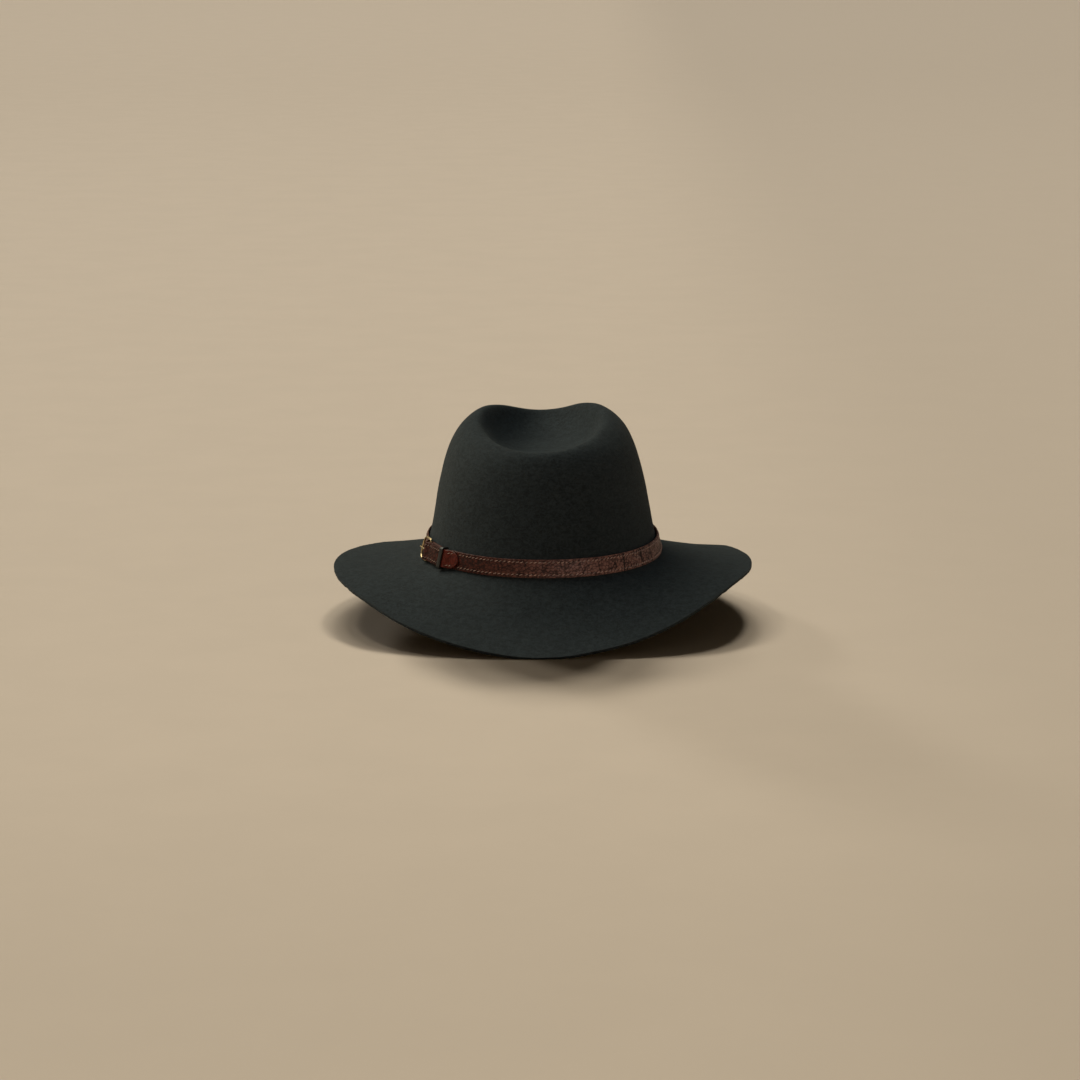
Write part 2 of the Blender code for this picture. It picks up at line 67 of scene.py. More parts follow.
# Crown sections from the fold up over the ridge and down into the crease. Width, front and
# back are shares of half the head's width and length, the three heights are shares of the
# crown's height, narrow is the share by which the front is slimmer, and pinch is the share
# of the pinch's depth.
CROWN_COLUMNS = ("width", "front", "back", "ridge_z", "front_z", "back_z", "narrow", "pinch")
CROWN_SECTIONS = {
    "fold": (1.020, 1.015, 1.015, 0.000, 0.000, 0.000, 0.00, 0.0),
    "foot": (0.992, 0.995, 0.995, 0.045, 0.045, 0.045, 0.00, 0.0),
    "band_top": (0.952, 0.970, 0.970, 0.170, 0.170, 0.170, 0.00, 0.0),
    "low": (0.908, 0.940, 0.930, 0.370, 0.365, 0.350, 0.02, 0.1),
    "mid": (0.862, 0.905, 0.882, 0.570, 0.540, 0.515, 0.05, 0.5),
    "high": (0.806, 0.862, 0.840, 0.770, 0.690, 0.650, 0.09, 1.0),
    "shoulder": (0.725, 0.811, 0.802, 0.900, 0.790, 0.740, 0.13, 1.0),
    "round": (0.605, 0.754, 0.758, 0.975, 0.862, 0.795, 0.18, 0.5),
    "crest": (0.525, 0.692, 0.708, 0.985, 0.872, 0.814, 0.24, 0.1),
    "lip": (0.465, 0.635, 0.665, 0.880, 0.838, 0.792, 0.27, 0.0),
    "wall": (0.395, 0.520, 0.600, 0.785, 0.785, 0.750, 0.28, 0.0),
    "bowl": (0.250, 0.340, 0.420, 0.725, 0.732, 0.722, 0.26, 0.0),
    "floor": (0.100, 0.150, 0.200, 0.710, 0.712, 0.710, 0.20, 0.0),
}

# Brim sections from the fold outwards: share of the brim's width and share of its drop
BRIM_COLUMNS = ("out", "drop")
BRIM_SECTIONS = {
    "inner": (0.12, 0.17),
    "middle": (0.38, 0.50),
    "outer": (0.70, 0.79),
    "hem": (0.94, 0.96),
    "edge": (1.00, 1.00),
}

# Height of the brim's edge above its lowest places, every 30 degrees from the wearer's
# right towards the front, as a share of the lift of its sides
EDGE_LIFT = {
    "right": 1.02,
    "right_front": 0.88,
    "front_right": 0.365,
    "front": 0.00,
    "front_left": 0.58,
    "left_front": 0.88,
    "left": 0.965,
    "left_back": 0.83,
    "back_left": 0.312,
    "back": 0.00,
    "back_right": 0.34,
    "right_back": 0.97,
}

# Cage of the felt, as in the solid: columns around the head and how it is shaped
COLUMNS = 24
SQUARENESS = 2.1
RIDGE_PLACE = 0.26
FRONT_FALL = 2.6
BACK_FALL = 0.95
PINCH_ANGLE = math.radians(52)
PINCH_SPREAD = math.radians(20)
RIDGE_LEAN = 0.0009
CROWN_SHIFT = -0.0010

# Half of the strap's cross-section from its edge: inset, and how far the grain side is down
EDGE_COLUMNS = ("inset", "down")
EDGE_PROFILE = {
    "corner": (0.00000, 0.00042),
    "turn": (0.00007, 0.00022),
    "shoulder": (0.00022, 0.00008),
    "face": (0.00045, 0.00000),
}

# Deep cracks across the leather: degrees round the crown, slant in metres and depth
CRACK_COLUMNS = ("turn", "slant", "depth")
CRACKS = {
    "middle": (279.0, 0.0004, 0.5),
    "slanted": (306.5, 0.0016, 0.8),
    "upright": (319.0, 0.0004, 1.0),
    "short": (329.0, -0.0008, 0.8),
    "last": (355.0, 0.0008, 1.0),
}

# Lamps behind the hat for the floor: degrees round to the left, height, share of the light
FLOOR_LAMP_COLUMNS = ("turn", "height", "share")
FLOOR_LAMPS = {
    "left": (27.0, 37.0, 0.14),
    "half_left": (13.0, 35.0, 0.17),
    "behind": (3.0, 32.0, 0.26),
    "half_right": (-7.0, 37.0, 0.32),
    "low_left": (24.0, 13.0, 0.11),
}

# Lamps for the hat alone: degrees up, degrees round to the left, degrees wide, strength,
# colour and what they light
HAT_LAMP_COLUMNS = ("height", "turn", "width", "strength", "colour", "lights")
HAT_LAMPS = {
    "key": (48.0, 61.0, 54.0, 2.4, (1.0, 0.95, 0.76), "hat"),
    "fill": (80.0, 180.0, 120.0, 0.25, (0.40, 0.75, 1.0), "hat"),
    "band_fill": (20.0, -150.0, 40.0, 0.75, (1.0, 0.94, 0.90), "band"),
    "rim": (7.0, -60.0, 16.0, 0.8, (1.0, 0.97, 0.80), "hat"),
}
BAND_PIECES = ("band_leather", "band_stitches")
HAT_PIECES = ("felt_shell", *BAND_PIECES, "buckle_wire", "buckle_pin", "keeper_leather")


def metres(name, description, default):
    """A size in metres for a property group."""
    return FloatProperty(name=name, description=description, default=default,
                         subtype="DISTANCE", unit="LENGTH", precision=5)


def tint(name, description, default):
    """A colour for a property group, as linear red, green and blue."""
    return FloatVectorProperty(name=name, description=description, default=default,
                               subtype="COLOR", size=3, min=0.0, max=1.0)


class HatSizes(PropertyGroup):
    """Sizes of the felt, the band and the buckle."""

    head_width: metres("Head width", "Crown's outer width at the brim's fold", 0.165)
    head_length: metres("Head length", "Crown's outer length at the fold", 0.203)
    crown_height: metres("Crown height", "Crown above the fold", 0.1036)
    fold_height: metres("Fold height", "Brim's fold above the floor", 0.0408)
    brim_side: metres("Brim at the sides", "Brim's width at the sides", 0.0655)
    brim_end: metres("Brim at the ends", "Brim's width at front and back", 0.0590)
    side_lift: metres("Side lift", "Brim's edge at the sides above its ends", 0.0327)
    felt: metres("Felt", "Thickness of the felt", 0.0020)
    flat_depth: metres("Flat", "How far the felt is pressed flat where it rests", 0.0010)
    pinch_depth: metres("Pinch", "Depth of the two pinches at the front", 0.0070)
    ripple: metres("Ripple", "Height of the felt's soft ripples", 0.00045)
    ragged: metres("Ragged edge", "Roughness of the brim's cut edge", 0.00016)

    strap_width: metres("Strap width", "Width of the leather strap",
                        (STRAP_HIGH.z - STRAP_LOW.z) / math.cos(BAND_LEAN))
    strap_low: metres("Strap height", "Lower edge of the strap above the floor", STRAP_LOW.z)
    strap: metres("Strap", "Thickness of the strap", 0.0012)
    slot: metres("Slot", "Height of the strap's slot and hole for the prong", 0.0020)
    gap: metres("Gap", "Clear space between pieces that touch", 0.0003)
    keeper_distance: metres("Keeper distance", "From heel bar to keeper", 0.0270)
    keeper_width: metres("Keeper width", "Width of the keeper loop", 0.0040)
    keeper: metres("Keeper", "Thickness of the keeper loop", 0.0010)
    tip_length: metres("Tip length", "Free end past the keeper", 0.0175)
    fold_run: metres("Fold run", "Over which a layer changes its height", 0.0060)
    folded_clear: metres("Folded clear", "From the folded end to the keeper", 0.0040)
    relief: metres("Relief", "Depth of the embossed creases", 0.00030)
    large_scale: metres("Large scales", "Length of the large scales", 0.0105)
    small_scale: metres("Small scales", "Length of the small scales", 0.0024)
    stitch_pitch: metres("Stitch pitch", "From one stitch to the next", 0.0032)
    stitch_length: metres("Stitch length", "Length of a stitch", 0.0026)
    stitch_inset: metres("Stitch inset", "From the strap's edge to the row", 0.0020)
    thread: metres("Thread", "Thickness of the thread", 0.00055)

    buckle_length: metres("Buckle length", "From heel bar to front bar", 0.0150)
    buckle_room: metres("Buckle room", "From the strap's edge to the frame", 0.0006)
    wire: metres("Wire", "Thickness of the buckle's frame", 0.0016)
    heel_corner: metres("Heel corner", "Radius of the corners at the heel", 0.0012)
    front_corner: metres("Front corner", "Radius of the corners at the front", 0.0050)
    buckle_tilt: metres("Buckle tilt", "How far the front bar stands out", 0.0014)
    prong: metres("Prong", "Thickness of the prong", 0.0012)
    prong_reach: metres("Prong reach", "Prong past the front bar", 0.0010)
    buckle_angle: FloatProperty(name="Buckle angle", description="Heel bar's place around",
                                default=math.radians(206), subtype="ANGLE", unit="ROTATION")
    band_lean: FloatProperty(name="Band lean", description="Lean of the band with the crown",
                             default=BAND_LEAN, subtype="ANGLE", unit="ROTATION")
    felt_levels: IntProperty(name="Felt levels", description="Subdivision of the felt",
                             default=3, min=1, max=3)


class HatColours(PropertyGroup):
    """Colours of the hat and of the studio."""

    felt_deep: tint("Felt, deep", "Felt between the hairs", (0.0118, 0.0155, 0.0182))
    felt_light: tint("Felt, light", "Hairs that catch the light", (0.0315, 0.0400, 0.0450))
    # The next two leather colours are the paler, greyer scales where sheen is painted, away from
    # the buckle. The third is the darker, redder scales near the buckle, with no painted sheen.
    leather: tint("Leather", "Tops of the scales, faded", (0.215, 0.102, 0.077))
    leather_dark: tint("Leather, dark", "Darker scales, faded", (0.112, 0.047, 0.036))
    leather_unsheened: tint("Leather, fresh", "Scales near the buckle", (0.080, 0.017, 0.010))
    leather_red: tint("Leather, red", "Smooth polished tip", (0.095, 0.012, 0.006))
    crease: tint("Crease", "Dye in the creases", (0.008, 0.005, 0.0045))
    thread: tint("Thread", "Stitches", (0.340, 0.185, 0.130))
    gold: tint("Gold", "Buckle and prong", (0.60, 0.46, 0.26))
    black: tint("Black", "Keeper loop", (0.0050, 0.0045, 0.0045))
    floor: tint("Floor", "Floor and backdrop", (0.560, 0.450, 0.315))


def sizes():
    """The scene's hat sizes."""
    return bpy.context.scene.bush_hat_sizes


def colours():
    """The scene's hat colours."""
    return bpy.context.scene.bush_hat_colours


def ease(value, start, end):
    """Go smoothly from 0 at start to 1 at end."""
    share = min(max((value - start) / (end - start), 0.0), 1.0)
    return share * share * (3.0 - 2.0 * share)


def rows(columns, table):
    """The rows of a table in order, each with its columns' names."""
    return [dict(zip(columns, row)) for row in table.values()]


def signed_power(value, power):
    """Raise a number's size to a power and keep its sign."""
    return math.copysign(abs(value) ** power, value)


def spread(start, end, step):
    """Even distances from start to end, no further apart than a step."""
    count = max(1, math.ceil((end - start) / step))
    return [start + (end - start) * k / count for k in range(count + 1)]


def add_piece(name, mesh, material, slot, *nodes):
    """Put a finished mesh in the scene in place of the solids that it stands for."""
    piece = bpy.data.objects.new(name, mesh)
    bpy.context.scene.collection.objects.link(piece)
    mesh.materials.clear()
    mesh.materials.append(material)
    mesh.shade_smooth()
    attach(piece, "root")
    if nodes:
        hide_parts(*nodes)


def made_mesh(name, shape):
    """Turn a shape's faces outwards, and return it as a mesh."""
    bmesh.ops.recalc_face_normals(shape, faces=shape.faces[:])
    mesh = bpy.data.meshes.new(name)
    shape.to_mesh(mesh)
    shape.free()
    return mesh


def finished_mesh(mesh, *modifiers):
    """Return a mesh with modifiers applied, each a type and its settings."""
    item = bpy.data.objects.new("unfinished", mesh)
    bpy.context.scene.collection.objects.link(item)
    for kind, settings in modifiers:
        modifier = item.modifiers.new(kind.lower(), kind)
        for key, value in settings.items():
            setattr(modifier, key, value)
    bpy.context.view_layer.update()
    graph = bpy.context.evaluated_depsgraph_get()
    made = bpy.data.meshes.new_from_object(item.evaluated_get(graph), depsgraph=graph)
    bpy.data.objects.remove(item)
    return made


class Value:
    """A shader socket that Python arithmetic joins through Math nodes."""

    def __init__(self, finish, socket):
        self.finish = finish
        self.socket = socket

    def math(self, operation, first, second):
        return self.finish.node("ShaderNodeMath", {"operation": operation}, {0: first, 1: second})

    def __add__(self, other):
        return self.math("ADD", self, other)

    def __mul__(self, other):
        return self.math("MULTIPLY", self, other)


class Finish:
    """A Principled material whose patterns are worked out by expressions."""

    def __init__(self, name, colour, roughness, constants):
        self.material = bpy.data.materials.new(name)
        self.material.use_nodes = True
        self.material.diffuse_color = (*colour, 1.0)
        self.tree = self.material.node_tree
        self.shader = self.tree.nodes["Principled BSDF"]
        self.shader.inputs["Base Color"].default_value = (*colour, 1.0)
        self.shader.inputs["Roughness"].default_value = roughness
        for key, value in constants.items():
            self.shader.inputs[key].default_value = value
        self.place = self.node("ShaderNodeTexCoord", {}, {}, "Object")

    def node(self, kind, settings, inputs, output=0):
        """Add one node and return one of its outputs."""
        made = self.tree.nodes.new(kind)
        for key, value in settings.items():
            setattr(made, key, value)
        for key, value in inputs.items():
            if isinstance(value, Value):
                self.tree.links.new(value.socket, made.inputs[key])
            else:
                made.inputs[key].default_value = value
        return Value(self, made.outputs[output])

    def noise(self, scale, detail=2.0, roughness=0.5, distortion=0.0, stretch=(1.0, 1.0, 1.0)):
        """Noise in object space, from 0 to 1."""
        place = self.node("ShaderNodeMapping", {}, {"Vector": self.place, "Scale": stretch})
        inputs = {"Vector": place, "Scale": scale, "Detail": detail, "Roughness": roughness,
                  "Distortion": distortion}
        return self.node("ShaderNodeTexNoise", {}, inputs)

    def attribute(self, name):
        """A number that is stored on the mesh."""
        return self.node("ShaderNodeAttribute", {"attribute_name": name}, {}, "Fac")

    def step(self, value, low, high, start=0.0, end=1.0):
        """Go smoothly from start to end as a value goes from low to high."""
        inputs = {0: value, 1: low, 2: high, 3: start, 4: end}
        return self.node("ShaderNodeMapRange", {"interpolation_type": "SMOOTHSTEP"}, inputs)

    def mix(self, factor, first, second):
        """Mix two colours."""
        pair = [c if isinstance(c, Value) else (*c, 1.0) for c in (first, second)]
        inputs = {0: factor, 6: pair[0], 7: pair[1]}
        return self.node("ShaderNodeMix", {"data_type": "RGBA"}, inputs, 2)

    def bump(self, height, strength, distance):
        """Feed the normal with a height."""
        inputs = {"Strength": strength, "Distance": distance, "Height": height}
        self.feed("Normal", self.node("ShaderNodeBump", {}, inputs))

    def feed(self, key, value):
        """Link a value to a socket of the shader."""
        self.tree.links.new(value.socket, self.shader.inputs[key])


def fur_felt():
    """Brushed fur felt: matted short hairs, soft mottle and a faint pale bloom."""
    look = colours()
    felt = Finish("fur_felt", look.felt_light, 0.95, {
        "Specular IOR Level": 0.25,
        "Sheen Weight": 0.04,
        "Sheen Roughness": 0.45,
        "Sheen Tint": (0.75, 0.85, 0.80, 1.0),
    })
    hairs = felt.noise(1100.0, 4.0, 0.62, 1.6)
    matting = felt.noise(420.0, 3.0, 0.60, 1.2)
    nap = felt.noise(230.0, 3.0, 0.6, 0.6, stretch=(1.0, 1.0, 2.6))
    bloom = felt.noise(34.0, 2.0, 0.5)
    light = felt.step(hairs * 0.26 + matting * 0.46 + nap * 0.28, 0.38, 0.62)
    tone = felt.step(bloom, 0.30, 0.72, 0.84, 1.0)
    felt.feed("Base Color", felt.mix(light * tone, look.felt_deep, look.felt_light))
    felt.feed("Roughness", felt.step(matting, 0.3, 0.7, 0.90, 1.0))
    felt.bump(hairs * 0.35 + matting * 0.80 + nap * 0.55, 0.60, 0.00050)
    return felt.material


def embossed_leather():
    """Glossy leather embossed like reptile skin, with dark dye in its creases and painted sheen."""
    look = colours()
    leather = Finish("embossed_leather", look.leather, 0.50, {
        "Specular IOR Level": 0.10,
        "Coat Roughness": 0.14,
        "Coat IOR": 1.48,
    })
    crease = leather.attribute("crease")
    tone = leather.attribute("tone")
    polish = leather.attribute("polish")
    painted_sheen = leather.attribute("painted_sheen")
    back = leather.attribute("back")
    pores = leather.noise(2600.0, 3.0, 0.6)
    grain = leather.noise(950.0, 3.0, 0.65, 0.8)
    clouds = leather.noise(330.0, 3.0, 0.6, 0.6)
    blend = leather.step(tone * 0.40 + clouds * 0.35 + grain * 0.35, 0.34, 0.74)
    # Painted sheen: away from the buckle the scales take the paler, greyer colours in place of
    # light shining on the glossy leather. Near the buckle they keep the darker, redder colours.
    unsheened_dark = tuple(c * 0.38 for c in look.leather_unsheened)
    unsheened = leather.mix(blend, unsheened_dark, look.leather_unsheened)
    wear_and_sheen = leather.mix(blend, look.leather_dark, look.leather)
    scales = leather.mix(painted_sheen, unsheened, wear_and_sheen)
    red_dark = tuple(c * 0.55 for c in look.leather_red)
    red = leather.mix(leather.step(clouds, 0.35, 0.60), red_dark, look.leather_red)
    rubbed = leather.mix(polish, scales, red)
    dyed = leather.mix(leather.step(crease, 0.10, 0.80), rubbed, look.crease)
    pored = leather.mix(leather.step(pores, 0.56, 0.72, 0.0, 0.35), dyed, look.crease)
    leather.feed("Base Color", leather.mix(back * 0.7, pored, look.leather_dark))
    leather.feed("Roughness", leather.step(crease + clouds * 0.5, 0.1, 1.2, 0.44, 0.68))
    leather.feed("Coat Weight", leather.step(crease, 0.0, 0.6, 0.14, 0.02))
    leather.bump(pores * 0.3 + grain * 0.9 + clouds * 0.8, 0.60, 0.00028)
    return leather.material


def waxed_thread():
    """Waxed tan thread with a fine twist."""
    look = colours()
    thread = Finish("waxed_thread", look.thread, 0.55, {"Sheen Weight": 0.15})
    wear = thread.noise(420.0, 2.0)
    twist = thread.noise(5200.0, 2.0)
    wear_and_sheen = tuple(c * 0.35 for c in look.thread)
    thread.feed("Base Color", thread.mix(thread.step(wear, 0.36, 0.64), wear_and_sheen, look.thread))
    thread.bump(twist, 0.5, 0.0001)
    return thread.material


def gold_metal():
    """Polished gold tone plating with hairline scratches and dull spots."""
    look = colours()
    gold = Finish("gold_metal", look.gold, 0.24, {"Metallic": 1.0})
    dull = gold.noise(700.0, 3.0, 0.6)
    scratches = gold.noise(2400.0, 2.0, 0.5, 0.0, stretch=(1.0, 1.0, 0.15))
    aged = tuple(c * 0.55 for c in look.gold)
    gold.feed("Base Color", gold.mix(gold.step(dull, 0.55, 0.75), look.gold, aged))
    gold.feed("Roughness", gold.step(dull * 0.6 + scratches * 0.4, 0.35, 0.7, 0.26, 0.48))
    gold.bump(scratches, 0.12, 0.00005)
    return gold.material


def black_leather():
    """Smooth black leather with a fine grain and a soft shine."""
    look = colours()
    leather = Finish("black_leather", look.black, 0.38, {"Coat Roughness": 0.25})
    grain = leather.noise(1500.0, 3.0, 0.6)
    rub = leather.noise(300.0, 2.0)
    rubbed = tuple(c * 2.6 for c in look.black)
    leather.feed("Base Color", leather.mix(leather.step(rub, 0.5, 0.8), look.black, rubbed))
    leather.feed("Roughness", leather.step(grain, 0.3, 0.7, 0.30, 0.48))
    leather.feed("Coat Weight", leather.step(rub, 0.3, 0.7, 0.16, 0.06))
    leather.bump(grain, 0.35, 0.00012)
    return leather.material


def studio_paper():
    """Plain warm backdrop, barely mottled, with faint painted shade to the right and to the camera.
    """
    look = colours()
    paper = Finish("studio_paper", look.floor, 0.95, {"Specular IOR Level": 0.1})
    mottle = paper.noise(14.0, 4.0, 0.6)
    paler = tuple(c * 1.025 for c in look.floor)
    painted_shade_colour = tuple(c * 0.82 for c in look.floor)
    across, along = (paper.node("ShaderNodeSeparateXYZ", {}, {0: paper.place}, axis)
                     for axis in (0, 1))
    plain = paper.mix(paper.step(mottle, 0.3, 0.7), look.floor, paler)
    # Painted shade: the floor darkens a little towards +X and towards the camera, in place of light
    # falling off.
    painted_falloff = paper.step(across, 0.05, 0.42, 0.0, 0.62) + paper.step(along, -0.90, -0.30, 0.45, 0.0)
    paper.feed("Base Color", paper.mix(painted_falloff, plain, painted_shade_colour))
    return paper.material


def cage_reach():
    """Return how far out a cage ring lies, so that its smooth ring has the named size."""
    return 3.0 / (2.0 + math.cos(2.0 * math.pi / COLUMNS))


def section_height(along, section):
    """Height of a crown section at a place from the back, -1, to the front, 1."""
    if along > RIDGE_PLACE:
        share = ((along - RIDGE_PLACE) / (1.0 - RIDGE_PLACE)) ** FRONT_FALL
        end = section["front_z"]
    else:
        share = ((RIDGE_PLACE - along) / (1.0 + RIDGE_PLACE)) ** BACK_FALL
        end = section["back_z"]
    return section["ridge_z"] + (end - section["ridge_z"]) * share


def pinch_at(angle):
    """Share of the pinch at an angle around the crown, on both sides of the front."""
    from_front = abs(math.atan2(math.cos(angle), math.sin(angle)))
    offset = from_front - (math.pi / 2.0 - PINCH_ANGLE)
    return math.exp(-((offset / PINCH_SPREAD) ** 2))


def crown_ring(size, section):
    """Points of one crown section, one for each column."""
    points = []
    for column in range(COLUMNS):
        angle = 2.0 * math.pi * column / COLUMNS
        across = signed_power(math.cos(angle), 2.0 / SQUARENESS)
        along = signed_power(math.sin(angle), 2.0 / SQUARENESS)
        ahead = max(along, 0.0)
        behind = max(-along, 0.0)
        width = section["width"] * size.head_width / 2.0 * (1.0 - section["narrow"] * ahead)
        x = width * across
        y = size.head_length / 2.0 * (section["front"] * ahead - section["back"] * behind)
        dent = size.pinch_depth * section["pinch"] * pinch_at(angle)
        x -= dent * math.cos(angle)
        y -= dent * math.sin(angle)
        lean = RIDGE_LEAN * across * section["ridge_z"] ** 2
        z = size.fold_height + size.crown_height * section_height(along, section) + lean
        x += CROWN_SHIFT * section["ridge_z"]
        points.append(Vector((x * cage_reach(), y * cage_reach(), z)))
    return points


def edge_lift(size, angle):
    """Lift of the brim's edge at an angle, smooth through the table."""
    lifts = list(EDGE_LIFT.values())
    count = len(lifts)
    place = (angle / (2.0 * math.pi) * count) % count
    step = int(place)
    t = place - step
    before, here, after, beyond = (lifts[(step + k) % count] for k in (-1, 0, 1, 2))
    slope = (after - before) * t
    bend = (2.0 * before - 5.0 * here + 4.0 * after - beyond) * t * t
    turn = (3.0 * here - before - 3.0 * after + beyond) * t ** 3
    return size.side_lift * (here + 0.5 * (slope + bend + turn))


def edge_heights(size):
    """Heights of the cage's edge, so that its smooth edge goes through the table's."""
    lowest = size.felt - size.flat_depth
    wanted = [lowest + edge_lift(size, 2.0 * math.pi * k / COLUMNS) for k in range(COLUMNS)]
    heights = list(wanted)
    for _round in range(6):
        smooth = [(heights[k - 1] + 4.0 * heights[k] + heights[(k + 1) % COLUMNS]) / 6.0
                  for k in range(COLUMNS)]
        heights = [now + want - got for now, want, got in zip(heights, wanted, smooth)]
    return heights


def edge_half_axes(size):
    """Half the width and half the length of the whole brim."""
    return size.head_width / 2.0 + size.brim_side, size.head_length / 2.0 + size.brim_end


def brim_ring(size, section, fold, heights):
    """Points of one brim section, from the fold's points out to the edge's."""
    half_width, half_length = edge_half_axes(size)
    points = []
    for column, inside in enumerate(fold):
        angle = 2.0 * math.pi * column / COLUMNS
        outside = Vector((half_width * math.cos(angle) * cage_reach(),
                          half_length * math.sin(angle) * cage_reach(), heights[column]))
        point = inside.lerp(outside, section["out"])
        point.z = inside.z + (outside.z - inside.z) * section["drop"]
        points.append(point)
    return points


def felt_rings(size):
    """Rings of the cage from the middle of the crease out to the brim's edge."""
    crown = [crown_ring(size, section) for section in rows(CROWN_COLUMNS, CROWN_SECTIONS)]
    heights = edge_heights(size)
    brim = [brim_ring(size, section, crown[0], heights)
            for section in rows(BRIM_COLUMNS, BRIM_SECTIONS)]
    return list(reversed(crown)) + brim


def felt_cage(size):
    """A web of rings around one middle point, moved onto the sections."""
    rings = felt_rings(size)
    web = bmesh.new()
    bmesh.ops.create_circle(web, cap_ends=True, cap_tris=True, segments=COLUMNS, radius=1.0)
    for reach in range(2, len(rings) + 1):
        edges = [edge for edge in web.edges if edge.is_boundary]
        grown = bmesh.ops.extrude_edge_only(web, edges=edges)["geom"]
        for vertex in (part for part in grown if isinstance(part, bmesh.types.BMVert)):
            vertex.co = vertex.co.normalized() * reach
    for vertex in web.verts:
        reach = round(vertex.co.length)
        column = round(math.atan2(vertex.co.y, vertex.co.x) / (2.0 * math.pi) * COLUMNS) % COLUMNS
        if reach:
            vertex.co = rings[reach - 1][column]
        else:
            vertex.co = sum(rings[0], Vector()) / COLUMNS
    return made_mesh("felt_cage", web)


def edge_share(size, point):
    """How far out a point is: 1 on the brim's edge."""
    half_width, half_length = edge_half_axes(size)
    return math.hypot(point.x / half_width, point.y / half_length)


def rippled_felt(size, sheet):
    """Give the smooth sheet soft ripples, and a finer and ragged edge."""
    hem = 0.975
    ragged_from = 0.990
    long_waves, short_waves, fray_waves = 28.0, 61.0, 900.0
    shape = bmesh.new()
    shape.from_mesh(sheet)
    shape.normal_update()
    band_top = size.fold_height + 2.0 * size.strap_width
    for vertex in shape.verts:
        place = vertex.co
        clear = ease(place.z, band_top - size.strap_width, band_top)
        if place.z < size.fold_height:
            clear = ease(size.fold_height - place.z, 0.0, size.strap_width / 2.0)
        wave = noise.noise(place * long_waves) + 0.5 * noise.noise(place * short_waves)
        vertex.co = place + vertex.normal * (wave * size.ripple * clear)
    edges = [edge for edge in shape.edges
             if all(edge_share(size, vertex.co) > hem for vertex in edge.verts)]
    bmesh.ops.subdivide_edges(shape, edges=edges, cuts=2, use_grid_fill=True)
    for vertex in shape.verts:
        ragged = ease(edge_share(size, vertex.co), ragged_from, 1.0) * size.ragged
        if ragged:
            out = Vector((vertex.co.x, vertex.co.y, 0.0)).normalized()
            place = vertex.co * fray_waves
            vertex.co = vertex.co + out * (noise.noise(place) * ragged)
            vertex.co.z += noise.noise(place + Vector((7.0, 3.0, 5.0))) * ragged
    shape.to_mesh(sheet)
    shape.free()
    return sheet


class HAT_OT_felt(Operator):
    """Model the crown and brim as one shell of felt"""

    bl_idname = "bush_hat.felt"
    bl_label = "Felt"

    def execute(self, context):
        size = sizes()
        levels = size.felt_levels
        soften = ("SUBSURF", {"levels": levels, "render_levels": levels})
        sheet = rippled_felt(size, finished_mesh(felt_cage(size), soften))
        wall = ("SOLIDIFY", {"thickness": size.felt, "offset": -1.0, "use_even_offset": True,
                             "use_quality_normals": True})
        rim = ("BEVEL", {"width": size.felt * 0.2, "segments": 2, "limit_method": "ANGLE",
                         "angle_limit": math.radians(50), "use_clamp_overlap": True})
        shell = finished_mesh(sheet, wall, rim)
        for vertex in shell.vertices:
            vertex.co.z = max(vertex.co.z, 0.0)
        add_piece("felt_shell", shell, fur_felt(), "felt", "felt_body")
        return {"FINISHED"}


def strap_middle(size):
    """Height of the middle of the strap while the band is upright."""
    return size.strap_low + size.strap_width / 2.0


def leaned(size, mesh):
    """Lean an upright mesh of the band in against the crown."""
    for vertex in mesh.vertices:
        x, y, z = vertex.co
        height = z - size.strap_low
        out = Vector((x / size.head_width ** 2, y / size.head_length ** 2, 0.0)).normalized()
        place = vertex.co - out * (height * math.sin(size.band_lean))
        place.z = size.strap_low + height * math.cos(size.band_lean)
        vertex.co = place
    return mesh


class Track:
    """The line around the crown that the back of the upright band follows."""

    STEPS = 360

    def __init__(self, size):
        bpy.context.view_layer.update()
        graph = bpy.context.evaluated_depsgraph_get()
        tree = BVHTree.FromObject(bpy.data.objects["felt_shell"], graph)
        lengths = [size.strap_width * share for share in (0.0, 0.25, 0.5, 0.75, 1.0)]
        far = size.head_length
        self.size = size
        self.points = []
        for step in range(self.STEPS):
            angle = size.buckle_angle + 2.0 * math.pi * step / self.STEPS
            out = Vector((math.cos(angle), math.sin(angle), 0.0))
            radii = []
            for length in lengths:
                height = size.strap_low + length * math.cos(size.band_lean)
                reach = far - tree.ray_cast(out * far + UP * height, -out)[3]
                radii.append(reach + length * math.sin(size.band_lean))
            self.points.append(out * (max(radii) + size.gap))
        self.lengths = [0.0]
        for step in range(self.STEPS):
            ahead = self.points[(step + 1) % self.STEPS]
            self.lengths.append(self.lengths[-1] + (ahead - self.points[step]).length)
        self.length = self.lengths[-1]

    def point(self, distance):
        """Point of the track at a distance from the buckle's heel bar."""
        distance %= self.length
        step = bisect_right(self.lengths, distance, 1, self.STEPS) - 1
        share = (distance - self.lengths[step]) / (self.lengths[step + 1] - self.lengths[step])
        return self.points[step].lerp(self.points[(step + 1) % self.STEPS], share)

    def outward(self, distance):
        """Direction straight out of the track at a distance."""
        reach = self.size.fold_run / 2.0
        ahead = self.point(distance + reach) - self.point(distance - reach)
        return Vector((ahead.y, -ahead.x, 0.0)).normalized()

    def place(self, distance, offset):
        """Point at a distance along the track and an offset out from it."""
        return self.point(distance) + self.outward(distance) * offset


def layer(size, number):
    """Offset of the middle of a layer of leather, counted from the crown."""
    return size.strap / 2.0 + number * (size.strap + size.gap)


def wrap_radius(size):
    """Distance from the heel bar's middle to the middle of the strap folded round it."""
    return size.wire / 2.0 + size.gap + size.strap / 2.0


def heel_offset(size):
    """Offset of the middle of the heel bar."""
    return layer(size, 0) + wrap_radius(size)


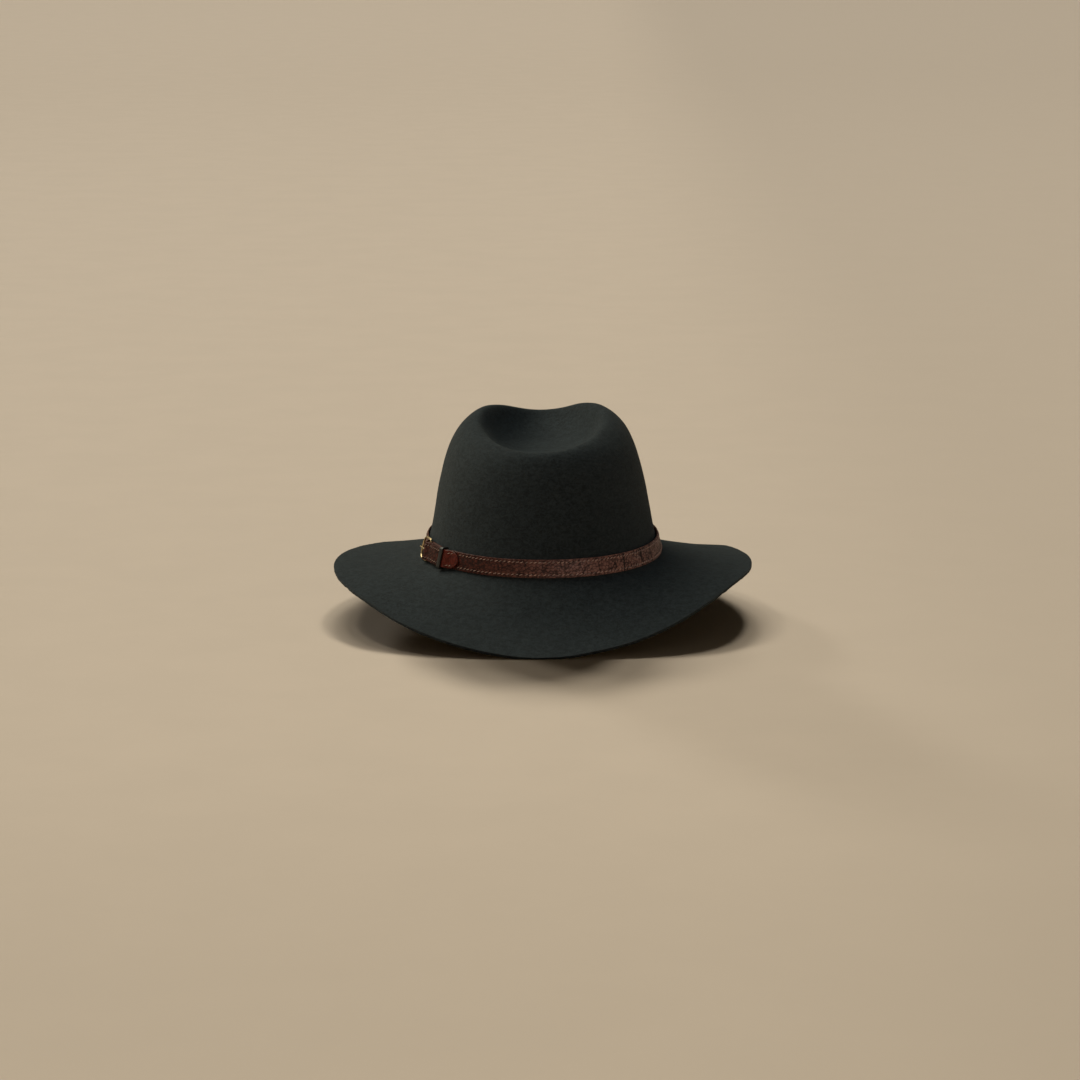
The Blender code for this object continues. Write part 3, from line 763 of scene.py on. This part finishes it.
def front_offset(size):
    """Offset of the middle of the front bar."""
    return size.strap + size.gap + size.wire / 2.0 + size.buckle_tilt


def prong_radius(size):
    """Distance from a bar's middle to the middle of the prong that lies on it."""
    return (size.wire + size.prong) / 2.0 + size.gap


def held_offset(size, distance, number):
    """Offset of a layer from the heel bar on: over the fold, through the keeper, down."""
    over_fold = layer(size, number - 1) + 2.0 * wrap_radius(size)
    through_keeper = layer(size, number - 1) + max(size.strap, size.keeper + size.gap) + size.gap
    keeper_end = size.keeper_distance + size.keeper_width
    offset = over_fold + (through_keeper - over_fold) * ease(distance, 0.0, size.fold_run)
    drop = ease(distance, keeper_end, keeper_end + size.fold_run)
    return offset + (layer(size, number - 1) - through_keeper) * drop


def free_offset(size, distance):
    """Offset of the free end: under the front bar, then up over the heel bar."""
    if distance >= 0.0:
        return held_offset(size, distance, 2)
    past_front_bar = size.wire * 3.0 - size.buckle_length
    rise = ease(distance, past_front_bar, -size.gap)
    return layer(size, 0) + (held_offset(size, 0.0, 2) - layer(size, 0)) * rise


def prong_offset(size, distance):
    """Offset of the prong between the heel bar and the front bar."""
    share = -distance / size.buckle_length
    heel = heel_offset(size)
    return heel + (front_offset(size) - heel) * share + prong_radius(size)


def prong_crossing(size):
    """Distance from the heel bar at which the prong goes through the free end."""
    places = spread(-size.buckle_length, 0.0, size.gap)
    return min(places, key=lambda d: abs(free_offset(size, d) - prong_offset(size, d)))


def strap_path(size, track):
    """Middle line of the strap, from its hidden folded end to its free tip."""
    coarse = 0.0012
    fine = 0.0004
    along = 0.0006
    folded = size.keeper_distance - size.keeper_width / 2.0 - size.folded_clear
    path = [track.place(d, layer(size, 0)) for d in reversed(spread(0.0, folded, coarse))]
    out = track.outward(0.0)
    back = Vector((out.y, -out.x, 0.0))
    centre = track.place(0.0, heel_offset(size))
    turns = 16
    for turn in range(1, turns):
        angle = math.pi * turn / turns
        path.append(centre + (back * math.sin(angle) - out * math.cos(angle)) * wrap_radius(size))
    held = size.keeper_distance + size.keeper_width + size.fold_run
    under = -size.buckle_length - size.wire
    tip = size.keeper_distance + size.tip_length
    path += [track.place(d, held_offset(size, d, 1)) for d in spread(0.0, held, fine)]
    path += [track.place(d, layer(size, 0))
             for d in spread(held, track.length + under, along)[1:]]
    path += [track.place(d, free_offset(size, d)) for d in spread(under, 0.0, fine)[1:-1]]
    path += [track.place(d, free_offset(size, d)) for d in spread(0.0, tip, fine)]
    return path


class Strap:
    """The strap's middle line with its lengths, its outward side and its relief."""

    TIP_POWER = 1.75
    TIP_REACH = 1.30

    def __init__(self, size, track):
        self.size = size
        self.path = strap_path(size, track)
        self.runs = [0.0]
        for here, ahead in zip(self.path, self.path[1:]):
            self.runs.append(self.runs[-1] + (ahead - here).length)
        self.length = self.runs[-1]
        self.outs = []
        for index in range(len(self.path)):
            ahead = self.path[min(index + 2, len(self.path) - 1)]
            along = ahead - self.path[max(index - 2, 0)]
            self.outs.append(Vector((along.y, -along.x, 0.0)).normalized())
        folded = size.keeper_distance - size.keeper_width / 2.0 - size.folded_clear
        heel_run = folded + math.pi * wrap_radius(size)
        self.covered = heel_run + size.keeper_distance + size.tip_length
        self.free = self.length - size.keeper_distance - size.tip_length
        self.cracks = rows(CRACK_COLUMNS, CRACKS)
        for crack in self.cracks:
            crack["run"] = self.run_at(math.radians(crack["turn"]))

    def run_at(self, angle):
        """Length along the strap at which its single layer is at an angle round the crown."""
        def apart(index):
            here = math.atan2(self.path[index].y, self.path[index].x)
            return abs(math.remainder(here - angle, 2.0 * math.pi))
        single = [index for index, run in enumerate(self.runs)
                  if self.covered < run < self.free - self.size.buckle_length]
        return self.runs[min(single, key=apart)]

    def painted_sheen(self, run):
        """Painted sheen's share: none near the buckle, where the leather is darker and redder."""
        if run > self.free - self.size.buckle_length:
            return 0.0
        return ease(run - self.covered, 0.0, self.size.head_width * 0.7)

    def half_width(self, run):
        """Half the strap's width, less in its rounded tip."""
        half = self.size.strap_width / 2.0
        share = min((self.length - run) / (self.TIP_REACH * half), 1.0)
        return half * max(1.0 - (1.0 - share) ** self.TIP_POWER, 0.0) ** (1.0 / self.TIP_POWER)

    def polish(self, run):
        """How smooth the leather is: the free end past the keeper isn't embossed."""
        start = self.size.tip_length
        return 1.0 - ease(self.length - run, start - 0.002, start + 0.001)

    def scales(self, run, across):
        """Depth of the creases and tone of the scales at a place on the grain side."""
        size = self.size
        waves = 260.0
        crack_wander = 0.0022
        wobble = noise.noise(Vector((run * waves, across * waves, 3.0))) * 0.22
        small = Vector((run / size.small_scale + wobble, across / (size.small_scale * 0.85), 1.7))
        large = Vector((run / size.large_scale + wobble * 0.8,
                        across / (size.large_scale * 1.5) + wobble, 4.6))
        near, cells = noise.voronoi(small)
        fine = 1.0 - ease(near[1] - near[0], 0.02, 0.34)
        far, _cells = noise.voronoi(large)
        # The large scales grow bolder along the same ramp that paints the sheen.
        bold = ease(self.painted_sheen(run), 0.45, 0.95)
        wide = (1.0 - ease(far[1] - far[0], 0.00, 0.06)) * bold
        tone = 0.5 + 0.5 * noise.noise(cells[0] * 5.3)
        deep = 0.0
        crack_floor, crack_rim = 0.00030, 0.00120
        for crack in self.cracks:
            slant = crack["slant"] * (across / size.strap_width - 0.5)
            apart = abs(run - crack["run"] - slant + wobble * crack_wander)
            deep = max(deep, crack["depth"] * (1.0 - ease(apart, crack_floor, crack_rim)))
        return max(fine * 0.62, wide * 0.8, deep), tone

    def grain_side(self, run, inset, across):
        """Height over the flat strap, and the numbers stored for the leather's finish."""
        size = self.size
        edge = 0.0003
        row_reach = 0.00045
        row_depth = 0.00012
        swell_height = 0.0001
        crease, tone = self.scales(run, across)
        polish = self.polish(run)
        crease *= (1.0 - polish) * ease(inset, 0.0, edge)
        row = math.exp(-(((inset - size.stitch_inset) / row_reach) ** 2))
        swell = swell_height * ease(inset, size.stitch_inset, size.strap_width / 2.0)
        height = swell - crease * size.relief - row_depth * row
        return height, crease, tone, polish


def rolled_grid(name, rings, closed, values=None):
    """A tube through rings of points: a grid rolled up and moved onto them."""
    around = len(rings[0])
    rows = len(rings) + (1 if closed else 0)
    shape = bmesh.new()
    layers = {key: shape.verts.layers.float.new(key) for key in values or {}}
    bmesh.ops.create_grid(shape, x_segments=around, y_segments=rows - 1, size=1.0)
    for index, vertex in enumerate(shape.verts):
        row, column = divmod(index, around + 1)
        row %= len(rings)
        column %= around
        vertex.co = rings[row][column]
        for key, stored in layers.items():
            vertex[stored] = values[key][row][column]
    bmesh.ops.remove_doubles(shape, verts=shape.verts[:], dist=0.000001)
    if not closed:
        ends = [edge for edge in shape.edges if edge.is_boundary]
        bmesh.ops.holes_fill(shape, edges=ends, sides=0)
    return made_mesh(name, shape)


def strap_insets(size):
    """Distances from the strap's lower edge across its grain side, and how far down it is."""
    step = 0.0004
    edge = [(row["inset"], row["down"]) for row in rows(EDGE_COLUMNS, EDGE_PROFILE)]
    inner = [(place, 0.0) for place in spread(edge[-1][0], size.strap_width / 2.0, step)]
    half = edge + inner[1:]
    other = [(size.strap_width - inset, down) for inset, down in reversed(half[:-1])]
    return half + other


def strap_mesh(size, strap):
    """The strap as rings of its cross-section along its path."""
    across = strap_insets(size)
    back = [0.97, 0.5, 0.0, -0.5, -0.97]
    back_down = 0.00012
    rings = []
    values = {"crease": [], "tone": [], "polish": [], "painted_sheen": [], "back": []}
    for point, out, run in zip(strap.path, strap.outs, strap.runs):
        # Share of painted sheen, paler and greyer away from the buckle, stored for the leather's
        # colour.
        painted_sheen = strap.painted_sheen(run)
        half = strap.half_width(run)
        share = half / (size.strap_width / 2.0)
        ring = []
        row = {key: [] for key in values}
        for place, down in across:
            inset = min(place, size.strap_width - place) * share
            height, crease, tone, polish = strap.grain_side(run, inset, place)
            offset = size.strap / 2.0 + height - down
            z = strap_middle(size) + (place - size.strap_width / 2.0) * share
            ring.append(Vector((point.x, point.y, z)) + out * offset)
            for key, value in zip(values, (crease, tone, polish, painted_sheen, 0.0)):
                row[key].append(value)
        for place in back:
            offset = -size.strap / 2.0 + back_down * (abs(place) > 0.9)
            z = strap_middle(size) + half * place
            ring.append(Vector((point.x, point.y, z)) + out * offset)
            for key, value in zip(values, (0.0, 0.5, 0.0, painted_sheen, 1.0)):
                row[key].append(value)
        rings.append(ring)
        for key in values:
            values[key].append(row[key])
    return rolled_grid("band_leather", rings, False, values)


def buckle_axes(size, track):
    """Middle of the heel bar, the way to the front bar, the outward side, and the length."""
    heel = track.place(0.0, heel_offset(size))
    line = track.place(-size.buckle_length, front_offset(size)) - heel
    heel.z = strap_middle(size)
    along = line.normalized()
    side = Vector((-along.y, along.x, 0.0))
    if side.dot(track.outward(0.0)) < 0.0:
        side.negate()
    return heel, along, side, line.length


def cutter_box(centre, axes, lengths):
    """A box to cut with, as a mesh along three axes."""
    shape = bmesh.new()
    bmesh.ops.create_cube(shape, size=1.0)
    for vertex in shape.verts:
        vertex.co = centre + sum((axis * (length * part)
                                  for axis, length, part in zip(axes, lengths, vertex.co)),
                                 Vector())
    return made_mesh("cutter", shape)


def cutter_cylinder(centre, radius, height):
    """An upright cylinder to cut with, as a mesh."""
    shape = bmesh.new()
    bmesh.ops.create_cone(shape, cap_ends=True, segments=32, radius1=radius, radius2=radius,
                          depth=height)
    bmesh.ops.translate(shape, verts=shape.verts[:], vec=centre)
    return made_mesh("cutter", shape)


def cut_mesh(mesh, *cutters):
    """Cut shapes out of a mesh."""
    helpers = []
    for cutter in cutters:
        helper = bpy.data.objects.new("cutter", cutter)
        bpy.context.scene.collection.objects.link(helper)
        helpers.append(helper)
    modifiers = [("BOOLEAN", {"operation": "DIFFERENCE", "solver": "EXACT", "object": helper})
                 for helper in helpers]
    made = finished_mesh(mesh, *modifiers)
    for helper in helpers:
        bpy.data.objects.remove(helper)
    return made


class HAT_OT_strap(Operator):
    """Model the embossed leather strap around the crown"""

    bl_idname = "bush_hat.strap"
    bl_label = "Strap"

    def execute(self, context):
        size = sizes()
        track = Track(size)
        strap = Strap(size, track)
        heel, along, side, _length = buckle_axes(size, track)
        radius = prong_radius(size) + size.prong / 2.0 + size.gap * 0.7
        slot = cutter_cylinder(heel, radius, size.slot)
        crossing = prong_crossing(size)
        place = track.place(crossing, prong_offset(size, crossing))
        place.z = strap_middle(size)
        lengths = (2.0 * (size.strap + size.prong), size.prong + 2.0 * size.gap, size.slot)
        hole = cutter_box(place, (along, side, UP), lengths)
        leather = cut_mesh(strap_mesh(size, strap), slot, hole)
        add_piece("band_leather", leaned(size, leather), embossed_leather(), "brown_leather",
                  "band_strap")
        return {"FINISHED"}


def stitch_template(size):
    """One stitch along X: a thread that dives into the leather at both ends."""
    fill = 1.25
    dive = 0.55
    shape = bmesh.new()
    bmesh.ops.create_uvsphere(shape, u_segments=6, v_segments=8, radius=0.5)
    for vertex in shape.verts:
        x, y, z = vertex.co
        vertex.co = Vector((z * size.stitch_length, x * size.thread * fill, y * size.thread * fill))
        vertex.co.z -= (abs(z) * 2.0) ** 3 * size.thread * dive
    return made_mesh("stitch", shape)


class HAT_OT_stitches(Operator):
    """Model the two rows of slanted stitches along the strap"""

    bl_idname = "bush_hat.stitches"
    bl_label = "Stitches"

    def execute(self, context):
        size = sizes()
        track = Track(size)
        strap = Strap(size, track)
        template = stitch_template(size)
        slant = math.radians(24)
        first = strap.covered + 0.0015
        last = strap.length - size.strap_width * 0.62
        under_keeper = size.keeper_width / 2.0 + 0.0016
        rows = bmesh.new()
        index = 0
        for run in spread(first, last, size.stitch_pitch):
            while strap.runs[index] < run:
                index += 1
            if abs(strap.length - run - size.tip_length) < under_keeper:
                continue
            out = strap.outs[index]
            along = Vector((-out.y, out.x, 0.0))
            for side in (-1.0, 1.0):
                across = side * (size.strap_width / 2.0 - size.stitch_inset)
                jitter = noise.noise(Vector((run * 900.0, side * 4.0, 2.0)))
                angle = slant * (1.0 + 0.35 * jitter)
                lie = along * math.cos(angle) + UP * math.sin(angle)
                over = out.cross(lie)
                centre = strap.path[index] + out * (size.strap / 2.0 + size.thread * 0.02)
                centre.z = strap_middle(size) + across + jitter * 0.00012
                known = len(rows.verts)
                rows.from_mesh(template)
                rows.verts.ensure_lookup_table()
                for vertex in rows.verts[known:]:
                    local = vertex.co.copy()
                    vertex.co = centre + lie * local.x + over * local.y + out * local.z
        mesh = made_mesh("band_stitches", rows)
        add_piece("band_stitches", leaned(size, mesh), waxed_thread(), None)
        return {"FINISHED"}


def rounded_rectangle(left, right, half, left_radius, right_radius, steps):
    """Points around a rectangle with round corners, in order."""
    corners = (
        (right - right_radius, half - right_radius, right_radius, 0.0),
        (left + left_radius, half - left_radius, left_radius, 90.0),
        (left + left_radius, left_radius - half, left_radius, 180.0),
        (right - right_radius, right_radius - half, right_radius, 270.0),
    )
    points = []
    for x, y, radius, start in corners:
        for step in range(steps + 1):
            angle = math.radians(start + 90.0 * step / steps)
            points.append((x + radius * math.cos(angle), y + radius * math.sin(angle)))
    return points


def outline_normals(points, closed):
    """Unit normals of a flat outline, to the right of its direction."""
    normals = []
    last = len(points) - 1
    for index in range(len(points)):
        if closed:
            before, after = points[index - 1], points[(index + 1) % len(points)]
        else:
            before, after = points[max(index - 1, 0)], points[min(index + 1, last)]
        along = Vector((after[0] - before[0], after[1] - before[1])).normalized()
        normals.append(Vector((along.y, -along.x)))
    return normals


def round_section(thickness):
    """Points around a wire's section."""
    sides = 14
    turns = [2.0 * math.pi * side / sides for side in range(sides)]
    return [(thickness / 2.0 * math.cos(turn), thickness / 2.0 * math.sin(turn)) for turn in turns]


def swept_rings(points, closed, section, shares, place):
    """Rings of a section along a flat outline, each grown by its share.

    place turns a flat point and a height into space.
    """
    rings = []
    for point, normal, share in zip(points, outline_normals(points, closed), shares):
        ring = []
        for thick, high in section:
            flat = Vector(point) + normal * (thick * share)
            ring.append(place(flat.x, flat.y, high * share))
        rings.append(ring)
    return rings


class HAT_OT_buckle(Operator):
    """Model the buckle's wire frame and its prong"""

    bl_idname = "bush_hat.buckle"
    bl_label = "Buckle"

    def execute(self, context):
        size = sizes()
        track = Track(size)
        heel, along, side, length = buckle_axes(size, track)
        gold = gold_metal()

        half = size.strap_width / 2.0 + size.buckle_room + size.wire / 2.0
        outline = rounded_rectangle(0.0, length, half, size.heel_corner, size.front_corner, 9)
        rings = swept_rings(outline, True, round_section(size.wire), [1.0] * len(outline),
                            lambda x, y, z: heel + along * x + UP * y + side * z)
        frame_mesh = rolled_grid("buckle_wire", rings, True)
        add_piece("buckle_wire", leaned(size, frame_mesh), gold, "gold_tone_metal", "buckle_frame")

        radius = prong_radius(size)
        wrap = math.radians(262)
        steps = 24
        end = length + size.prong_reach
        tip = [(end - back, radius) for back in (0.0, 0.00006, 0.00018, 0.0004, 0.0012)]
        shrink = [0.30, 0.55, 0.78, 0.90, 0.95]
        shank = [(end - back, radius) for back in spread(0.0024, end - 0.0004, 0.0016)]
        loop = [(-radius * math.sin(wrap * k / steps), radius * math.cos(wrap * k / steps))
                for k in range(steps + 1)]
        shares = shrink + [1.0] * len(shank + loop)
        rings = swept_rings(tip + shank + loop, False, round_section(size.prong), shares,
                            lambda x, y, z: heel + along * x + side * y + UP * z)
        prong_mesh = rolled_grid("buckle_pin", rings, False)
        add_piece("buckle_pin", leaned(size, prong_mesh), gold, "gold_tone_metal", "buckle_prong")
        return {"FINISHED"}


class HAT_OT_keeper(Operator):
    """Model the black leather keeper loop"""

    bl_idname = "bush_hat.keeper"
    bl_label = "Keeper"

    def execute(self, context):
        size = sizes()
        track = Track(size)
        distance = size.keeper_distance
        clear = size.strap / 2.0 + size.gap + size.keeper / 2.0
        inner = held_offset(size, distance, 1) - clear
        outer = held_offset(size, distance, 2) + clear
        half = size.strap_width / 2.0 + size.gap + size.keeper / 2.0
        corner = size.keeper * 0.8
        outline = rounded_rectangle(inner, outer, half, corner, corner, 6)
        origin = track.point(distance)
        origin.z = strap_middle(size)
        out = track.outward(distance)
        along = Vector((-out.y, out.x, 0.0))
        edge = size.keeper * 0.3
        section = rounded_rectangle(-size.keeper / 2.0, size.keeper / 2.0,
                                    size.keeper_width / 2.0, edge, edge, 4)
        rings = swept_rings(outline, True, section, [1.0] * len(outline),
                            lambda x, y, z: origin + out * x + UP * y + along * z)
        mesh = rolled_grid("keeper_leather", rings, True)
        add_piece("keeper_leather", leaned(size, mesh), black_leather(), "black_leather",
                  "keeper_loop")
        return {"FINISHED"}


def distant_light(name, row, width, strength, colour, receivers):
    """A soft lamp far away, turned from behind the hat to its left, that lights receivers."""
    lamp = bpy.data.lights.new(name, "SUN")
    lamp.angle = math.radians(width)
    lamp.energy = strength
    lamp.color = colour
    light = bpy.data.objects.new(name, lamp)
    height = math.radians(row["height"])
    turn = math.radians(row["turn"])
    place = Vector((-math.sin(turn) * math.cos(height), math.cos(turn) * math.cos(height),
                    math.sin(height)))
    light.location = place * 3.0
    light.rotation_euler = (-place).to_track_quat("-Z", "Y").to_euler()
    bpy.context.scene.collection.objects.link(light)
    light.light_linking.receiver_collection = receivers


def receivers_of_light(name, *pieces):
    """A group of pieces for lamps to light."""
    group = bpy.data.collections.new(name)
    for piece in pieces:
        group.objects.link(bpy.data.objects[piece])
    return group


class HAT_OT_studio(Operator):
    """Set up the plain floor, the soft lights and the camera"""

    bl_idname = "bush_hat.studio"
    bl_label = "Studio"

    def execute(self, context):
        self.make_backdrop()
        self.make_lights(context.scene)
        self.make_camera(context.scene)
        return {"FINISHED"}

    def make_backdrop(self):
        """A flat floor that curves up into a round wall."""
        floor_radius = 16.0
        bend = 3.0
        wall_height = 4.0
        steps = 12
        profile = [(0.0, 0.0), (floor_radius * 0.5, 0.0)]
        for step in range(steps + 1):
            angle = math.pi / 2.0 * step / steps
            profile.append((floor_radius + bend * math.sin(angle), bend - bend * math.cos(angle)))
        profile.append((floor_radius + bend, wall_height))
        shape = bmesh.new()
        verts = [shape.verts.new((x, 0.0, z)) for x, z in profile]
        edges = [shape.edges.new(pair) for pair in zip(verts, verts[1:])]
        bmesh.ops.spin(shape, geom=verts + edges, cent=(0.0, 0.0, 0.0), axis=(0.0, 0.0, 1.0),
                       angle=2.0 * math.pi, steps=96, use_merge=True)
        bmesh.ops.remove_doubles(shape, verts=shape.verts[:], dist=0.0001)
        mesh = made_mesh("studio_floor", shape)
        mesh.flip_normals()
        mesh.materials.append(studio_paper())
        mesh.shade_smooth()
        floor = bpy.data.objects.new("studio_floor", mesh)
        bpy.context.scene.collection.objects.link(floor)

    def make_lights(self, scene):
        """Lamps behind the hat for the floor, others for the hat and its band, a dim room."""
        on_floor = 2.65
        width = 8.0
        floor = receivers_of_light("floor_receivers", "studio_floor")
        for name, row in zip(FLOOR_LAMPS, rows(FLOOR_LAMP_COLUMNS, FLOOR_LAMPS)):
            strength = on_floor * row["share"] / math.sin(math.radians(row["height"]))
            distant_light("floor_" + name, row, width, strength, (1.0, 0.99, 0.97), floor)
        groups = {"hat": receivers_of_light("hat_receivers", *HAT_PIECES),
                  "band": receivers_of_light("band_receivers", *BAND_PIECES)}
        for name, row in zip(HAT_LAMPS, rows(HAT_LAMP_COLUMNS, HAT_LAMPS)):
            distant_light(name, row, row["width"], row["strength"], row["colour"],
                          groups[row["lights"]])
        world = bpy.data.worlds.new("room")
        world.use_nodes = True
        room = world.node_tree.nodes["Background"]
        room.inputs["Color"].default_value = (1.0, 0.97, 0.93, 1.0)
        room.inputs["Strength"].default_value = 0.03
        scene.world = world
        scene.view_settings.view_transform = "Standard"

    def make_camera(self, scene):
        """A long lens a little above the hat, looking at its back."""
        frame_pixels = 1080.0
        middle = frame_pixels / 2.0
        seen_at = (542.8, 551.5)
        pixels_per_metre = 1410.0
        distance = 2.4
        elevation = math.radians(11.5)
        turn = math.radians(-0.6)
        data = bpy.data.cameras.new("camera")
        data.sensor_width = 36.0
        data.lens = pixels_per_metre * distance / frame_pixels * data.sensor_width
        data.shift_x = (middle - seen_at[0]) / frame_pixels
        data.shift_y = (seen_at[1] - middle) / frame_pixels
        forward = Vector((math.sin(turn) * math.cos(elevation),
                          math.cos(turn) * math.cos(elevation), -math.sin(elevation)))
        camera = bpy.data.objects.new("camera", data)
        camera.location = Vector((0.0, 0.0, sizes().fold_height)) - forward * distance
        camera.rotation_euler = forward.to_track_quat("-Z", "Y").to_euler()
        scene.collection.objects.link(camera)
        scene.camera = camera


class HAT_PT_workshop(Panel):
    """Lists the hat's pieces, sizes and colours"""

    bl_idname = "HAT_PT_workshop"
    bl_label = "Bush Hat"
    bl_space_type = "VIEW_3D"
    bl_region_type = "UI"
    bl_category = "Hat"

    def draw(self, context):
        for operator in OPERATORS:
            self.layout.operator(operator.bl_idname)
        for group in (sizes(), colours()):
            column = self.layout.column()
            for name in group.__annotations__:
                column.prop(group, name)


OPERATORS = (HAT_OT_felt, HAT_OT_strap, HAT_OT_stitches, HAT_OT_buckle, HAT_OT_keeper,
             HAT_OT_studio)
CLASSES = (HatSizes, HatColours, *OPERATORS, HAT_PT_workshop)


def register():
    """Register the classes and give each scene its sizes and colours."""
    for item in CLASSES:
        bpy.utils.register_class(item)
    bpy.types.Scene.bush_hat_sizes = PointerProperty(type=HatSizes)
    bpy.types.Scene.bush_hat_colours = PointerProperty(type=HatColours)


def unregister():
    """Take the classes and the scene's properties away."""
    del bpy.types.Scene.bush_hat_colours
    del bpy.types.Scene.bush_hat_sizes
    for item in reversed(CLASSES):
        bpy.utils.unregister_class(item)


def main():
    """Build every piece and the studio."""
    register()
    bpy.ops.bush_hat.felt()
    bpy.ops.bush_hat.strap()
    bpy.ops.bush_hat.stitches()
    bpy.ops.bush_hat.buckle()
    bpy.ops.bush_hat.keeper()
    bpy.ops.bush_hat.studio()


if __name__ == "__main__":
    main()
